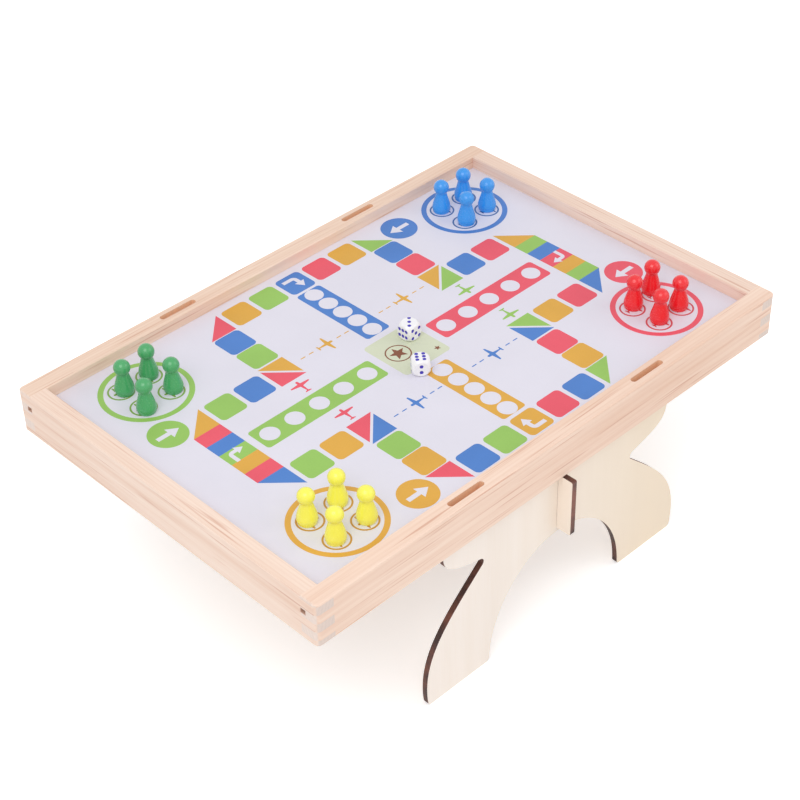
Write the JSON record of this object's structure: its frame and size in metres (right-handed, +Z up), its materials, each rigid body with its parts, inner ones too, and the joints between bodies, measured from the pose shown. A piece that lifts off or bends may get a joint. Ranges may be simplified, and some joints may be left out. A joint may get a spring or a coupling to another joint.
{
  "type": "tabletop race board game on a stand",
  "caption": "Rectangular pine tray with a printed race board, pawns and dice, resting on two arched plywood leg panels tied by a cross stretcher; the tray lifts off.",
  "frame": {"origin": "on the floor under the middle of the tray", "axes": "+X along the long rails, -Y to the near long rail, +Z up"},
  "size_m": [0.408, 0.289, 0.1656],
  "materials": {
    "pine": "planed and sanded pale pine, matt",
    "plywood": "birch plywood with laser-darkened edges",
    "hardboard": "plain board, matt",
    "print": "laminated print on pale lavender-white",
    "pawn_green": "glossy",
    "pawn_blue": "glossy",
    "pawn_red": "glossy",
    "pawn_yellow": "glossy",
    "dice": "glossy white with dark blue pips"
  },
  "bodies": {
    "front_leg": {"front_leg_panel": "plywood"},
    "rear_leg": {"rear_leg_panel": "plywood"},
    "stretcher": {"cross_stretcher": "plywood"},
    "board": {"front_long_rail": "pine", "rear_long_rail": "pine", "left_end_rail": "pine", "right_end_rail": "pine", "play_panel": "hardboard", "printed_sheet": "print"},
    "pawn_green_1": {"pawn_green_1": "pawn_green"},
    "pawn_green_2": {"pawn_green_2": "pawn_green"},
    "pawn_green_3": {"pawn_green_3": "pawn_green"},
    "pawn_green_4": {"pawn_green_4": "pawn_green"},
    "pawn_blue_1": {"pawn_blue_1": "pawn_blue"},
    "pawn_blue_2": {"pawn_blue_2": "pawn_blue"},
    "pawn_blue_3": {"pawn_blue_3": "pawn_blue"},
    "pawn_blue_4": {"pawn_blue_4": "pawn_blue"},
    "pawn_red_1": {"pawn_red_1": "pawn_red"},
    "pawn_red_2": {"pawn_red_2": "pawn_red"},
    "pawn_red_3": {"pawn_red_3": "pawn_red"},
    "pawn_red_4": {"pawn_red_4": "pawn_red"},
    "pawn_yellow_1": {"pawn_yellow_1": "pawn_yellow"},
    "pawn_yellow_2": {"pawn_yellow_2": "pawn_yellow"},
    "pawn_yellow_3": {"pawn_yellow_3": "pawn_yellow"},
    "pawn_yellow_4": {"pawn_yellow_4": "pawn_yellow"},
    "die_1": {"die_1": "dice"},
    "die_2": {"die_2": "dice"}
  },
  "joints": [
    {"name": "stretcher_lift", "type": "slide", "parent": "front_leg", "child": "stretcher", "axis": [0, 0, 1], "range_m": [0, 0.06]},
    {"name": "rear_leg_release", "type": "slide", "parent": "stretcher", "child": "rear_leg", "axis": [0, 0, -1], "range_m": [0, 0.06]},
    {"name": "board_lift", "type": "slide", "parent": "stretcher", "child": "board", "axis": [0, 0, 1], "range_m": [0, 0.06]},
    {"name": "pawn_green_1_lift", "type": "slide", "parent": "board", "child": "pawn_green_1", "axis": [0, 0, 1], "range_m": [0, 0.06]},
    {"name": "pawn_green_2_lift", "type": "slide", "parent": "board", "child": "pawn_green_2", "axis": [0, 0, 1], "range_m": [0, 0.06]},
    {"name": "pawn_green_3_lift", "type": "slide", "parent": "board", "child": "pawn_green_3", "axis": [0, 0, 1], "range_m": [0, 0.06]},
    {"name": "pawn_green_4_lift", "type": "slide", "parent": "board", "child": "pawn_green_4", "axis": [0, 0, 1], "range_m": [0, 0.06]},
    {"name": "pawn_blue_1_lift", "type": "slide", "parent": "board", "child": "pawn_blue_1", "axis": [0, 0, 1], "range_m": [0, 0.06]},
    {"name": "pawn_blue_2_lift", "type": "slide", "parent": "board", "child": "pawn_blue_2", "axis": [0, 0, 1], "range_m": [0, 0.06]},
    {"name": "pawn_blue_3_lift", "type": "slide", "parent": "board", "child": "pawn_blue_3", "axis": [0, 0, 1], "range_m": [0, 0.06]},
    {"name": "pawn_blue_4_lift", "type": "slide", "parent": "board", "child": "pawn_blue_4", "axis": [0, 0, 1], "range_m": [0, 0.06]},
    {"name": "pawn_red_1_lift", "type": "slide", "parent": "board", "child": "pawn_red_1", "axis": [0, 0, 1], "range_m": [0, 0.06]},
    {"name": "pawn_red_2_lift", "type": "slide", "parent": "board", "child": "pawn_red_2", "axis": [0, 0, 1], "range_m": [0, 0.06]},
    {"name": "pawn_red_3_lift", "type": "slide", "parent": "board", "child": "pawn_red_3", "axis": [0, 0, 1], "range_m": [0, 0.06]},
    {"name": "pawn_red_4_lift", "type": "slide", "parent": "board", "child": "pawn_red_4", "axis": [0, 0, 1], "range_m": [0, 0.06]},
    {"name": "pawn_yellow_1_lift", "type": "slide", "parent": "board", "child": "pawn_yellow_1", "axis": [0, 0, 1], "range_m": [0, 0.06]},
    {"name": "pawn_yellow_2_lift", "type": "slide", "parent": "board", "child": "pawn_yellow_2", "axis": [0, 0, 1], "range_m": [0, 0.06]},
    {"name": "pawn_yellow_3_lift", "type": "slide", "parent": "board", "child": "pawn_yellow_3", "axis": [0, 0, 1], "range_m": [0, 0.06]},
    {"name": "pawn_yellow_4_lift", "type": "slide", "parent": "board", "child": "pawn_yellow_4", "axis": [0, 0, 1], "range_m": [0, 0.06]},
    {"name": "die_1_lift", "type": "slide", "parent": "board", "child": "die_1", "axis": [0, 0, 1], "range_m": [0, 0.06]},
    {"name": "die_2_lift", "type": "slide", "parent": "board", "child": "die_2", "axis": [0, 0, 1], "range_m": [0, 0.06]}
  ],
  "couplings": [
    {"joint": "rear_leg_release", "follows": "stretcher_lift", "ratio": 1}
  ]
}
